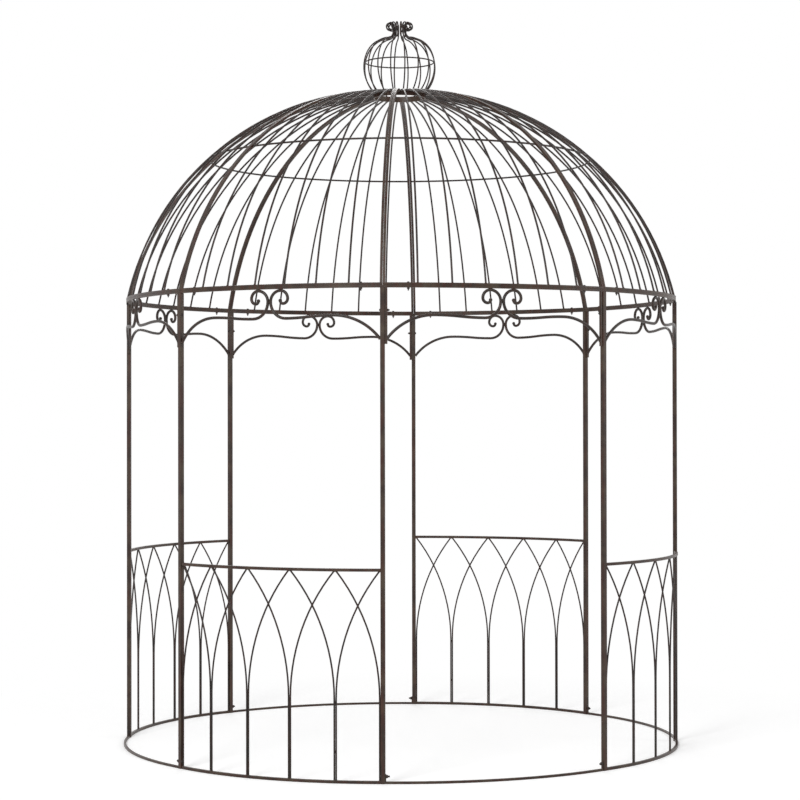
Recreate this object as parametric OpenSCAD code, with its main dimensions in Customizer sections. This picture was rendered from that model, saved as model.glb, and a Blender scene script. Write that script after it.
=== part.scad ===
// Domed garden pavilion: eight posts, four railed bays, four open bays, a wire dome and a finial.
// Millimetres. The origin is on the ground at the centre, +Z is up and an open bay faces -Y.

/* [Plan] */
// Radius of the circle through the post centres
post_circle_r = 1200; // [1000:10:1500]
// Half angle of a railed bay; an open bay takes the rest of its quarter
railed_half_angle = 22.06; // [20:0.01:25]
// How full a railed bay's base rail and handrail are bent, 1 following the post circle
railing_bulge = 1.12; // [0.7:0.01:1.3]
// How full a door sill is bent
sill_bulge = 1; // [0.7:0.01:1.3]
// How full the eaves are bent over a railed bay
railed_eaves_bulge = 0.96; // [0.7:0.01:1.3]
// How full the eaves are bent over an open bay
open_eaves_bulge = 0.8; // [0.7:0.01:1.3]

/* [Posts and bars] */
// Side of a square post
post_side = 18; // [14:1:30]
// Side of the square bar of the base rails and handrails
rail_side = 12; // [8:1:16]
// Side of the square bar of the sills, the eaves and the main ribs
frame_side = 10; // [6:1:14]
// Height of the joint between the wall and the dome
eaves_z = 1923; // [1600:1:2400]

/* [Railing] */
// Height of the top of the handrail
handrail_z = 829; // [650:1:1100]
// Cells between two posts
railing_cells = 5; // [4:1:7]
// Diameter of the lattice rods
rod_d = 7; // [4:0.5:9]
// Height at which the two rods of a pair part
rods_part_z = 325; // [150:1:450]
// Gap between the two rods of a pair
pair_gap = 0.5; // [0.3:0.1:2]

/* [Sills and headers] */
// Height of the tab at each end of a sill
tab_h = 38; // [15:1:60]
// Thickness of that tab
tab_t = 3; // [2:0.5:6]
// Length of a header's legs below the eaves rail
leg_drop = 218; // [150:1:300]

/* [Scrolls] */
// Diameter of the scroll bar
scroll_d = 12; // [8:0.5:14]
// Drop of the scroll's foot below the eaves rail
foot_drop = 198; // [160:1:260]
// Drop of the scroll's flat run below the eaves rail
run_drop = 105; // [90:1:130]
// Sag of the run towards the curl
run_dip = 10; // [2:1:20]
// Reach of the arch from its foot to its top
arch_reach = 186; // [120:1:240]
// Radius of the curl's lower quarter
curl_r = 66; // [50:1:75]
// Radius of the curl's third, fourth and last quarters
turn_3_r = 31; // [26:1:38]
turn_4_r = 20; // [15:1:26]
turn_5_r = 12; // [9:1:16]

/* [Dome] */
// Rise of the ribs from the eaves joint to the crown
dome_rise = 909; // [700:1:1200]
// Diameter of the thin ribs and of the middle ring
thin_d = 8; // [4:0.5:9]
// Thin ribs in each panel
thin_count = 6; // [3:1:8]
// Rise of the middle ring above the eaves joint
ring_rise = 613; // [400:1:760]
// Distance of the ribs from the axis at the middle ring
ring_r = 838; // [600:1:1000]
// Gap between two neighbouring panels
panel_gap = 1; // [0.6:0.1:4]
// Outer radius of the crown hoop
hoop_r = 115; // [100:1:160]
// Height of the crown hoop
hoop_h = 24; // [12:1:50]
// Thickness of the crown hoop
hoop_t = 5; // [3:0.5:10]

/* [Finial] */
// Diameter of the finial's wires
wire_d = 6; // [4:0.5:7]
// Number of wires
wire_count = 16; // [8:1:18]
// Radius of the cage's body
cage_r = 158; // [140:1:220]
// Radius of the cage's shoulder
shoulder_r = 108; // [80:1:130]
// Angle above the horizontal at which the body turns into the shoulder
shoulder_from = 25; // [10:1:40]
// Angle above the horizontal at which the shoulder turns into the neck
shoulder_to = 85; // [80:1:88]
// Radius of the neck
neck_r = 28; // [24:1:40]
// Straight length of the neck
neck_h = 22; // [5:1:60]
// Radius of the curls at the top
tip_r = 15; // [10:1:22]
// How far each curl turns
tip_turn = 300; // [180:1:320]
// Rise of the finial's ring above the cage's widest place
cage_ring_rise = 22; // [0:1:60]

/* [Hidden] */
$fn = 48;
plan_fn = 360;
steel = "#4b3d35";
open_half_angle = 45 - railed_half_angle;
far = 3 * post_circle_r;
fit_gap = 0.3;
bite = 2;
rail_z = eaves_z - frame_side;
ribs_z = eaves_z + frame_side / 2;
ring_z = eaves_z + ring_rise;
crown_z = eaves_z + dome_rise;
hoop_top = crown_z + frame_side / 2;
rib_end_r = hoop_r + 0.7;
sweep_sides = 6;

BAY_NAMES = ["front", "front_right", "right", "back_right",
             "back", "back_left", "left", "front_left"];
OPEN_BAYS = [0, 2, 4, 6];
RAILED_BAYS = [1, 3, 5, 7];
ALL_BAYS = [0 : 7];

function post_name(i) = str("post_", i + 1);
function bay_name(what, i) = str(what, "_", BAY_NAMES[i]);

// ---- Plan geometry. A bay is drawn facing -Y and then turned to its place. ----

function is_railed(i) = i % 2 == 1;
function half_angle(i) = is_railed(i) ? railed_half_angle : open_half_angle;
function eaves_bulge(i) = is_railed(i) ? railed_eaves_bulge : open_eaves_bulge;
function post_angle(i) = 45 * i + half_angle(i);

// Radius of a bay's arc, and the distance of its centre from the axis towards the bay
function half_chord(half) = post_circle_r * sin(half);
function arc_rise(half, bulge) = bulge * post_circle_r * (1 - cos(half));
function arc_r(half, bulge) =
    (half_chord(half) ^ 2 + arc_rise(half, bulge) ^ 2) / (2 * arc_rise(half, bulge));
function arc_centre(half, bulge) =
    post_circle_r * cos(half) + arc_rise(half, bulge) - arc_r(half, bulge);
// Half of the angle that the arc turns through about its own centre, and half its length
function arc_half(half, bulge) = asin(half_chord(half) / arc_r(half, bulge));
function arc_half_length(half, bulge) = arc_r(half, bulge) * arc_half(half, bulge) * PI / 180;
// Distance from the pavilion's axis to the arc at an angle from the bay's middle
function arc_reach(half, bulge, angle) =
    let (c = arc_centre(half, bulge), r = arc_r(half, bulge))
    c * cos(angle) + sqrt(r ^ 2 - (c * sin(angle)) ^ 2);
// A point on the arc, by its angle about the arc's own centre
function arc_point(half, bulge, turn) =
    let (c = arc_centre(half, bulge), r = arc_r(half, bulge))
    [r * sin(turn), -c - r * cos(turn)];

// The plan between two planes that lie past the posts' middles by a stated distance
module bay_wedge(half, past) {
    polygon([
        [0, past / sin(half)],
        [past * cos(half) + far * sin(half), past * sin(half) - far * cos(half)],
        [-past * cos(half) - far * sin(half), past * sin(half) - far * cos(half)]
    ]);
}

// A square bar bent to a bay's arc, its ends cut to the posts' side planes
module bent_bar(half, bulge, side, past) {
    r = arc_r(half, bulge);
    linear_extrude(side)
        intersection() {
            translate([0, -arc_centre(half, bulge)])
                difference() {
                    circle(r = r + side / 2, $fn = plan_fn);
                    circle(r = r - side / 2, $fn = plan_fn);
                }
            bay_wedge(half, past);
        }
}

// Points along an arc, past its first
function turn_points(centre, r, from, to, steps) =
    [for (k = [1 : steps])
        let (t = from + (to - from) * k / steps)
        [centre[0] + r * cos(t), centre[1] + r * sin(t)]];

// A round bar as a skin over rings of points; the rings turn clockwise as seen from the start
module skin(rings, turned = false) {
    n = len(rings);
    m = len(rings[0]);
    sides = [for (k = [0 : n - 2]) for (s = [0 : m - 1])
        let (a = k * m + s, b = k * m + (s + 1) % m)
        [a, a + m, b + m, b]];
    caps = [[for (s = [0 : m - 1]) s], [for (s = [m - 1 : -1 : 0]) (n - 1) * m + s]];
    polyhedron(
        [for (ring = rings) for (p = ring) p],
        [for (face = concat(sides, caps))
            turned ? [for (q = [len(face) - 1 : -1 : 0]) face[q]] : face],
        convexity = 6
    );
}

// A round bar along a line in the XZ plane
module plane_bar(line, d) {
    n = len(line);
    skin([for (k = [0 : n - 1])
        let (
            step = line[min(k + 1, n - 1)] - line[max(k - 1, 0)],
            along = k == 0 ? (line[1] - line[0]) / norm(line[1] - line[0]) : step / norm(step)
        )
        [for (s = [0 : sweep_sides - 1])
            let (t = 360 * (s + 0.5) / sweep_sides, across = d / 2 * cos(t))
            [line[k][0] - along[1] * across, -d / 2 * sin(t), line[k][1] + along[0] * across]]]);
}

// ---- Posts and ground pieces ----

module post(i) {
    color(steel)
        rotate([0, 0, post_angle(i)])
            translate([-post_side / 2, -post_circle_r - post_side / 2, 0])
                cube([post_side, post_side, rail_z]);
}

module base_rail(i) {
    color(steel)
        rotate([0, 0, 45 * i])
            bent_bar(half_angle(i), railing_bulge, rail_side, -post_side / 2);
}

// A flat tab or leg against the side of the post at one end of the bay
module beside_post(half, side, thick, wide, from_z, height) {
    rotate([0, 0, side * half])
        translate([side * (-post_side / 2 - thick / 2), -post_circle_r, from_z + height / 2])
            cube([thick, wide, height], center = true);
}

module sill(i) {
    color(steel)
        rotate([0, 0, 45 * i]) {
            bent_bar(half_angle(i), sill_bulge, frame_side, -post_side / 2);
            for (side = [-1, 1])
                beside_post(half_angle(i), side, tab_t, frame_side, 0, tab_h);
        }
}

// ---- Railing ----

// One rod: upright from the base rail, then an arc over to the handrail
module railing_rod(from_x, to_x) {
    reach = abs(to_x - from_x);
    climb = handrail_z - rail_side + bite - rods_part_z;
    r = (reach ^ 2 + climb ^ 2) / (2 * reach);
    way = to_x > from_x ? 1 : -1;
    start = to_x > from_x ? 180 : 0;
    turn = atan2(climb, r - reach);
    plane_bar(concat(
        [[from_x, rail_side], [from_x, rods_part_z]],
        turn_points([from_x + way * r, rods_part_z], r, start, start - way * turn, 7)
    ), rod_d);
}

module railing(i) {
    half = half_angle(i);
    turn = arc_half(half, railing_bulge);
    by_post = post_side / 2 + rod_d / 2 + fit_gap;
    by_pair = rod_d / 2 + pair_gap / 2;
    color(steel)
        rotate([0, 0, 45 * i]) {
            translate([0, 0, handrail_z - rail_side])
                bent_bar(half, railing_bulge, rail_side, -post_side / 2);
            for (k = [0 : railing_cells - 1]) {
                a = arc_point(half, railing_bulge, turn * (2 * k / railing_cells - 1));
                b = arc_point(half, railing_bulge, turn * (2 * (k + 1) / railing_cells - 1));
                left = k == 0 ? by_post : by_pair;
                right = norm(b - a) - (k == railing_cells - 1 ? by_post : by_pair);
                translate([a[0], a[1], 0])
                    rotate([0, 0, atan2(b[1] - a[1], b[0] - a[0])]) {
                        railing_rod(left, right);
                        railing_rod(right, left);
                    }
            }
        }
}

// ---- Eaves rails with their scrolls ----

// The left scroll, from its foot beside the post to the eye of its curl
function scroll_path(foot_x) =
    let (
        foot_z = rail_z - foot_drop,
        run_z = rail_z - run_drop,
        climb = run_z - foot_z,
        arch_r = (arch_reach ^ 2 + climb ^ 2) / (2 * climb),
        arch_x = foot_x + arch_reach,
        arch_from = 90 + acos((arch_r - climb) / arch_r),
        low_z = run_z - run_dip,
        touch_x = -scroll_d / 2 - fit_gap / 3,
        side_z = low_z + curl_r,
        top_z = rail_z - scroll_d / 2 * cos(180 / sweep_sides) + fit_gap,
        top_r = top_z - side_z,
        low_x = touch_x - curl_r,
        top_x = touch_x - top_r,
        left_x = top_x - turn_3_r,
        left_z = top_z - turn_3_r,
        last_x = left_x + turn_4_r,
        last_z = left_z - turn_4_r + turn_5_r
    )
    concat(
        [[foot_x, foot_z]],
        turn_points([arch_x, run_z - arch_r], arch_r, arch_from, 90, 6),
        [for (k = [1 : 4])
            let (t = k / 4)
            [arch_x + (low_x - arch_x) * t, run_z - run_dip * t * t * (3 - 2 * t)]],
        turn_points([low_x, side_z], curl_r, -90, 0, 5),
        turn_points([top_x, side_z], top_r, 0, 90, 5),
        turn_points([top_x, left_z], turn_3_r, 90, 180, 4),
        turn_points([last_x, left_z], turn_4_r, 180, 270, 4),
        turn_points([last_x, last_z], turn_5_r, 270, 360, 4)
    );

// A bar swept along points of the bay's unrolled face, laid on the bay's arc.
// Its first ring is cut level with the post's side.
module face_bar(half, bulge, points, mirrored) {
    n = len(points);
    way = mirrored ? -1 : 1;
    r = arc_r(half, bulge);
    c = arc_centre(half, bulge);
    skin([for (k = [0 : n - 1])
        let (
            step = points[min(k + 1, n - 1)] - points[max(k - 1, 0)],
            unit = step / norm(step),
            along = k == 0 ? [1, 0] : unit,
            stretch = k == 0 ? 1 / unit[0] : 1
        )
        [for (s = [0 : sweep_sides - 1])
            let (
                t = 360 * (s + 0.5) / sweep_sides,
                across = scroll_d / 2 * cos(t) * stretch,
                reach = r + scroll_d / 2 * sin(t),
                x = points[k][0] - along[1] * across,
                z = points[k][1] + along[0] * across,
                turn = way * x / r * 180 / PI
            )
            [reach * sin(turn), -c - reach * cos(turn), z]]], mirrored);
}

module scroll_pair(i, foot_inset) {
    half = half_angle(i);
    bulge = eaves_bulge(i);
    path = scroll_path(foot_inset - arc_half_length(half, bulge));
    for (mirrored = [false, true]) face_bar(half, bulge, path, mirrored);
}

// Over a railed bay the rail covers both posts and the scrolls spring from the posts
module frieze(i) {
    color(steel)
        rotate([0, 0, 45 * i]) {
            translate([0, 0, rail_z])
                bent_bar(half_angle(i), eaves_bulge(i), frame_side, post_side / 2);
            scroll_pair(i, post_side / 2 + fit_gap);
        }
}

// Over an open bay the rail stands on two legs that bolt to the posts
module header(i) {
    color(steel)
        rotate([0, 0, 45 * i]) {
            translate([0, 0, rail_z])
                bent_bar(half_angle(i), eaves_bulge(i), frame_side, -post_side / 2);
            for (side = [-1, 1])
                beside_post(half_angle(i), side, frame_side, frame_side,
                            rail_z - leg_drop, leg_drop + frame_side);
            scroll_pair(i, post_side / 2 + frame_side - bite);
        }
}

// ---- Dome ----

// Centre of the circle through three points
function circle_centre(p, q, s) =
    let (
        d = 2 * (p[0] * (q[1] - s[1]) + q[0] * (s[1] - p[1]) + s[0] * (p[1] - q[1])),
        pp = p * p,
        qq = q * q,
        ss = s * s
    )
    [(pp * (q[1] - s[1]) + qq * (s[1] - p[1]) + ss * (p[1] - q[1])) / d,
     (pp * (s[0] - q[0]) + qq * (p[0] - s[0]) + ss * (q[0] - p[0])) / d];

// A rib from the eaves through the middle ring's height to the crown, its section a child
module rib(foot_r) {
    foot = [foot_r, ribs_z];
    end = [rib_end_r, crown_z];
    c = circle_centre(foot, [ring_r, ring_z], end);
    from = atan2(foot[1] - c[1], foot[0] - c[0]);
    to = atan2(end[1] - c[1], end[0] - c[0]);
    rotate([90, 0, -90])
        translate([c[0], c[1], 0])
            rotate([0, 0, from])
                rotate_extrude(angle = to - from, $fn = plan_fn)
                    translate([norm(foot - c), 0]) children();
}

module dome_panel(i) {
    half = half_angle(i);
    bulge = eaves_bulge(i);
    inset = panel_gap / 2 + frame_side / 2;
    ring_in = ring_r - thin_d / 2 - 1;
    ring_half = half - asin(inset / ring_in);
    color(steel)
        rotate([0, 0, 45 * i]) {
            translate([0, 0, eaves_z]) bent_bar(half, bulge, frame_side, -panel_gap / 2);
            for (side = [-1, 1])
                rotate([0, 0, side * half])
                    translate([-side * inset, 0, 0])
                        rib(post_circle_r) square(frame_side, center = true);
            for (k = [1 : thin_count])
                let (angle = half * (2 * k / (thin_count + 1) - 1))
                rotate([0, 0, angle])
                    rib(arc_reach(half, bulge, angle)) circle(d = thin_d);
            translate([0, 0, ring_z])
                rotate([0, 0, -90 - ring_half])
                    rotate_extrude(angle = 2 * ring_half, $fn = plan_fn)
                        translate([ring_in, 0]) circle(d = thin_d);
        }
}

module crown_hoop() {
    color(steel)
        translate([0, 0, hoop_top - hoop_h])
            difference() {
                cylinder(r = hoop_r, h = hoop_h);
                translate([0, 0, -1]) cylinder(r = hoop_r - hoop_t, h = hoop_h + 2);
            }
}

// ---- Finial ----

cage_foot_r = hoop_r - hoop_t / 2 - wire_d / 3;
cage_z = hoop_top + sqrt(cage_r ^ 2 - cage_foot_r ^ 2);
cage_from = -acos(cage_foot_r / cage_r) + (wire_d / 2 + fit_gap) / cage_r * 180 / PI;
shoulder = [(cage_r - shoulder_r) * cos(shoulder_from),
            cage_z + (cage_r - shoulder_r) * sin(shoulder_from)];
throat_r = (shoulder[0] + shoulder_r * cos(shoulder_to) - neck_r) / (1 - cos(shoulder_to));
throat = [neck_r + throat_r, shoulder[1] + (shoulder_r + throat_r) * sin(shoulder_to)];

// The wire's line in its own upright plane, from the hoop to the end of its curl
wire_line = concat(
    [[cage_r * cos(cage_from), cage_z + cage_r * sin(cage_from)]],
    turn_points([0, cage_z], cage_r, cage_from, shoulder_from, 8),
    turn_points(shoulder, shoulder_r, shoulder_from, shoulder_to, 4),
    turn_points(throat, throat_r, 180 + shoulder_to, 180, 4),
    turn_points([neck_r + tip_r, throat[1] + neck_h], tip_r, 180, 180 - tip_turn, 9)
);

module finial_cage() {
    color(steel)
        for (k = [0 : wire_count - 1])
            rotate([0, 0, 360 * (k + 0.5) / wire_count]) plane_bar(wire_line, wire_d);
}

module finial_ring() {
    color(steel)
        translate([0, 0, cage_z + cage_ring_rise])
            rotate_extrude()
                translate([sqrt(cage_r ^ 2 - cage_ring_rise ^ 2) - wire_d - fit_gap, 0])
                    circle(d = wire_d);
}

// ---- Nodes ----

for (i = ALL_BAYS) post(i);
for (i = RAILED_BAYS) base_rail(i);
for (i = RAILED_BAYS) railing(i);
for (i = OPEN_BAYS) sill(i);
for (i = OPEN_BAYS) header(i);
for (i = RAILED_BAYS) frieze(i);
for (i = ALL_BAYS) dome_panel(i);
crown_hoop();
finial_cage();
finial_ring();
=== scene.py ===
"""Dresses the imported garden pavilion: smooth bars, welds, bolts and a worn bronze coat, in a pale studio."""

import logging
import math
from dataclasses import dataclass
from enum import Enum
from typing import Iterable

import bmesh
import bpy
from mathutils import Matrix, Vector


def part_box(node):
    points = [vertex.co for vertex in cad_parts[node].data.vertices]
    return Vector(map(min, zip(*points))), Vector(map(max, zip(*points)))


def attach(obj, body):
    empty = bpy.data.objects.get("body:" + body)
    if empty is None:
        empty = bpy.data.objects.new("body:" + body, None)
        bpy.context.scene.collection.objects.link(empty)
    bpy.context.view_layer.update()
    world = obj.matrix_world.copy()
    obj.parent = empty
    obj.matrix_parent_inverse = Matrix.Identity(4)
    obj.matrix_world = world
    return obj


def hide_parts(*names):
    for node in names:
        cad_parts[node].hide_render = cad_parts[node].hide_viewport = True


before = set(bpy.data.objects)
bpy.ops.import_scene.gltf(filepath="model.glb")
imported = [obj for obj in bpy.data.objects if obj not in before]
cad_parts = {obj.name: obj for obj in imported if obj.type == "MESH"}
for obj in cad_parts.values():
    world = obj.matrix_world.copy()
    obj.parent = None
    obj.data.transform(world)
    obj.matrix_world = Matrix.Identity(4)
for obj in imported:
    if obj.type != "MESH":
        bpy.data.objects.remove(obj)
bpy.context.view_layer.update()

log = logging.getLogger("pavilion")

MM = 0.001
QUARTER = math.pi / 2
EIGHTH = math.pi / 4
BAY_NAMES = (
    "front", "front_right", "right", "back_right", "back", "back_left", "left", "front_left",
)


class Slot(Enum):
    """Names of the material slots."""

    POSTS = "posts"
    RAILS = "rails"
    RAILINGS = "railings"
    SCROLLWORK = "scrollwork"
    DOME = "dome"
    FINIAL = "finial"


class Section(Enum):
    """The section of a bar, by the number of its sides."""

    SQUARE = 4
    THIN_ROUND = 10
    ROUND = 14


# ---------------------------------------------------------------- plan


@dataclass(frozen=True)
class Arc:
    """The line of a bent bar over one bay, seen from above and drawn facing -Y.

    Args:
        half: Half of the bay's angle about the pavilion's axis.
        bulge: How full the bar is bent; 1 follows the circle of the posts.
        circle: Radius of the circle of the posts.
    """

    half: float
    bulge: float
    circle: float

    @property
    def chord(self) -> float:
        """Half the distance between the two posts."""
        return self.circle * math.sin(self.half)

    @property
    def rise(self) -> float:
        """How far the bar bows out past the straight line between the posts."""
        return self.bulge * self.circle * (1 - math.cos(self.half))

    @property
    def radius(self) -> float:
        """Radius of the bend."""
        return (self.chord**2 + self.rise**2) / (2 * self.rise)

    @property
    def offset(self) -> float:
        """Distance of the bend's centre from the pavilion's axis, towards the bay."""
        return self.circle * math.cos(self.half) + self.rise - self.radius

    @property
    def turn(self) -> float:
        """Half of the angle that the bar turns through about its own centre."""
        return math.asin(self.chord / self.radius)

    @property
    def length(self) -> float:
        """Half of the bar's length."""
        return self.radius * self.turn

    def point(self, turn: float, z: float = 0, past: float = 0) -> Vector:
        """A point of the bar's line.

        Args:
            turn: Angle about the bend's centre, from the bay's middle.
            z: Height of the point.
            past: Distance outwards from the line.

        Returns:
            The point, in metres.
        """
        reach = self.radius + past
        return Vector((reach * math.sin(turn), -self.offset - reach * math.cos(turn), z))

    def reach(self, angle: float) -> float:
        """Distance from the pavilion's axis to the bar.

        Args:
            angle: Angle about that axis, from the bay's middle.

        Returns:
            The distance, in metres.
        """
        across = self.offset * math.sin(angle)
        return self.offset * math.cos(angle) + math.sqrt(self.radius**2 - across**2)

    def wrap(self, point: Vector) -> Vector:
        """Lays a point of the unrolled face on the bent face.

        Args:
            point: x along the bar from its middle, y inwards from its line, z up.

        Returns:
            The point on the bent face.
        """
        return self.point(point.x / self.radius, point.z, -point.y)


@dataclass(frozen=True)
class Plan:
    """The pavilion's driving sizes, in metres, as in the construction file."""

    circle: float = 1200 * MM
    railed_half: float = math.radians(22.06)
    railing_bulge: float = 1.12
    sill_bulge: float = 1
    railed_eaves_bulge: float = 0.96
    open_eaves_bulge: float = 0.8
    post: float = 18 * MM
    rail: float = 12 * MM
    bar: float = 10 * MM

    def railed(self, bay: int) -> bool:
        """Whether a bay has a railing.

        Args:
            bay: Number of the bay, anticlockwise from the front one.

        Returns:
            True for the four railed bays.
        """
        return bay % 2 == 1

    def half(self, bay: int) -> float:
        """Half of a bay's angle.

        Args:
            bay: Number of the bay.

        Returns:
            The angle in radians.
        """
        return self.railed_half if self.railed(bay) else EIGHTH - self.railed_half

    def eaves(self, bay: int) -> Arc:
        """The line of the eaves over a bay.

        Args:
            bay: Number of the bay.

        Returns:
            The bar's line.
        """
        bulge = self.railed_eaves_bulge if self.railed(bay) else self.open_eaves_bulge
        return Arc(self.half(bay), bulge, self.circle)

    def railing(self, bay: int) -> Arc:
        """The line of a base rail and handrail.

        Args:
            bay: Number of the bay.

        Returns:
            The bar's line.
        """
        return Arc(self.half(bay), self.railing_bulge, self.circle)

    def sill(self, bay: int) -> Arc:
        """The line of a door sill.

        Args:
            bay: Number of the bay.

        Returns:
            The bar's line.
        """
        return Arc(self.half(bay), self.sill_bulge, self.circle)


PLAN = Plan()


def bay_turn(bay: int) -> Matrix:
    """The turn that carries a bay drawn facing -Y to its place.

    Args:
        bay: Number of the bay, anticlockwise from the front one.

    Returns:
        The rotation about the pavilion's axis.
    """
    return Matrix.Rotation(EIGHTH * bay, 4, "Z")


def low_z(node: str) -> float:
    """Height of a construction piece's underside.

    Args:
        node: The piece's name.

    Returns:
        The height in metres.
    """
    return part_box(node)[0].z


def high_z(node: str) -> float:
    """Height of a construction piece's top.

    Args:
        node: The piece's name.

    Returns:
        The height in metres.
    """
    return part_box(node)[1].z


# ---------------------------------------------------------------- materials


def linear(hex_colour: str) -> tuple[float, float, float, float]:
    """Turns a screen colour into the linear colour that a shader reads.

    Args:
        hex_colour: Six hexadecimal digits after a hash.

    Returns:
        Linear red, green, blue and an alpha of one.
    """

    def channel(start: int) -> float:
        value = int(hex_colour[start : start + 2], 16) / 255
        return value / 12.92 if value <= 0.04045 else ((value + 0.055) / 1.055) ** 2.4

    return (channel(1), channel(3), channel(5), 1)


def add_node(tree: bpy.types.NodeTree, kind: str, inputs: dict | None = None, **settings):
    """Adds a node, sets it up and wires its inputs.

    Args:
        tree: The node tree.
        kind: The node's type name.
        inputs: Socket name or number to a value, or to an output socket to link from.
        **settings: The node's own properties.

    Returns:
        The new node.
    """
    node = tree.nodes.new(kind)
    for name, value in settings.items():
        setattr(node, name, value)
    for name, value in (inputs or {}).items():
        if isinstance(value, bpy.types.NodeSocket):
            tree.links.new(value, node.inputs[name])
        else:
            node.inputs[name].default_value = value
    return node


def add_ramp(tree: bpy.types.NodeTree, factor: bpy.types.NodeSocket, low: float, high: float):
    """A factor stretched so that one value becomes 0 and another becomes 1.

    Args:
        tree: The node tree.
        factor: The output to stretch.
        low: The value that becomes 0.
        high: The value that becomes 1.

    Returns:
        The stretched output socket.
    """
    inputs = {0: factor, 1: low, 2: high}
    return add_node(tree, "ShaderNodeMapRange", inputs, clamp=True).outputs[0]


def add_mix(tree: bpy.types.NodeTree, factor, first, second) -> bpy.types.NodeSocket:
    """A blend of two colours.

    Args:
        tree: The node tree.
        factor: How much of the second shows, a value or an output.
        first: The first colour, a value or an output.
        second: The second colour, a value or an output.

    Returns:
        The blended colour's socket.
    """
    inputs = {0: factor, 6: first, 7: second}
    return add_node(tree, "ShaderNodeMix", inputs, data_type="RGBA").outputs[2]


@dataclass(frozen=True)
class BronzeCoat:
    """Baked-on bronze paint on steel bars: a satin dielectric film, so nothing here is metallic.

    Args:
        name: The material's name.
        coat: Colour of the sound paint.
        faded: Colour where sun and rain have dulled it.
        rusty: Colour where rust shows through as a warm tinge.
        worn: Colour along rubbed edges.
        patch: Size of the dull patches.
        grain: Size of the paint's orange peel. It is drawn coarser than the real 0.4 mm to show.
        gloss: Roughness of the sound paint.
        tinge: How much of the surface has the rusty tinge, from 0 to 1.
        shine: Strength of its reflections; a matt-filled paint reflects less than a bare film.
    """

    name: str
    coat: str = "#2a1e18"
    faded: str = "#40352a"
    rusty: str = "#421e14"
    worn: str = "#5d5249"
    patch: float = 60 * MM
    grain: float = 1.2 * MM
    gloss: float = 0.36
    tinge: float = 0.5
    shine: float = 0.3

    def build(self) -> bpy.types.Material:
        """Makes the material.

        Returns:
            The new material.
        """
        material = bpy.data.materials.new(self.name)
        material.use_nodes = True
        tree = material.node_tree
        tree.nodes.clear()
        place = add_node(tree, "ShaderNodeTexCoord").outputs["Object"]
        patches = self.noise(tree, place, self.patch, 4)
        specks = self.noise(tree, place, self.patch / 12, 3)
        peel = self.noise(tree, place, self.grain, 2)
        # Bars weather in streaks along their length, most of them upright
        upright = add_node(
            tree, "ShaderNodeMapping", {"Vector": place, "Scale": (1, 1, 0.12)}
        ).outputs[0]
        streaks = self.noise(tree, upright, self.patch / 5, 3)

        faded = add_mix(
            tree, add_ramp(tree, patches, 0.4, 0.64), linear(self.coat), linear(self.faded)
        )
        tinged = add_mix(
            tree,
            add_node(
                tree,
                "ShaderNodeMath",
                {0: add_ramp(tree, streaks, 0.45, 0.62), 1: self.tinge},
                operation="MULTIPLY",
            ).outputs[0],
            faded,
            linear(self.rusty),
        )
        rub = self.rubbed(tree, specks)
        colour = add_mix(tree, rub, tinged, linear(self.worn))
        rough = add_node(
            tree, "ShaderNodeMapRange", {0: patches, 3: self.gloss - 0.1, 4: self.gloss + 0.14}
        ).outputs[0]
        fine = add_node(
            tree, "ShaderNodeBump", {"Strength": 0.35, "Distance": 0.15 * MM, "Height": peel}
        ).outputs[0]
        bump = add_node(
            tree,
            "ShaderNodeBump",
            {"Strength": 0.5, "Distance": 0.5 * MM, "Height": specks, "Normal": fine},
        ).outputs[0]
        shader = add_node(
            tree,
            "ShaderNodeBsdfPrincipled",
            {
                "Base Color": colour, "Roughness": rough, "Normal": bump,
                "Specular IOR Level": self.shine,
            },
        )
        add_node(tree, "ShaderNodeOutputMaterial", {"Surface": shader.outputs[0]})
        return material

    @staticmethod
    def noise(tree: bpy.types.NodeTree, place, size: float, detail: float):
        """A noise whose blots are about a stated size.

        Args:
            tree: The node tree.
            place: The coordinates' socket.
            size: Size of a blot, in metres.
            detail: Octaves of finer noise.

        Returns:
            The noise's output socket.
        """
        inputs = {"Vector": place, "Scale": 1 / size, "Detail": detail}
        return add_node(tree, "ShaderNodeTexNoise", inputs).outputs[0]

    @staticmethod
    def rubbed(tree: bpy.types.NodeTree, specks) -> bpy.types.NodeSocket:
        """Where an edge is rubbed: a rounded normal differs there from the true one.

        Args:
            tree: The node tree.
            specks: A noise that breaks the wear up.

        Returns:
            The wear's output socket, from 0 to 1.
        """
        true = add_node(tree, "ShaderNodeNewGeometry").outputs["Normal"]
        round_normal = add_node(tree, "ShaderNodeBevel", {"Radius": 1.6 * MM}, samples=4).outputs[0]
        along = add_node(
            tree, "ShaderNodeVectorMath", {0: true, 1: round_normal}, operation="DOT_PRODUCT"
        ).outputs["Value"]
        edge = add_node(
            tree, "ShaderNodeMapRange", {0: along, 1: 0.995, 2: 0.9}, clamp=True
        ).outputs[0]
        broken = add_ramp(tree, specks, 0.4, 0.62)
        return add_node(
            tree, "ShaderNodeMath", {0: edge, 1: broken}, operation="MULTIPLY"
        ).outputs[0]


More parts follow.
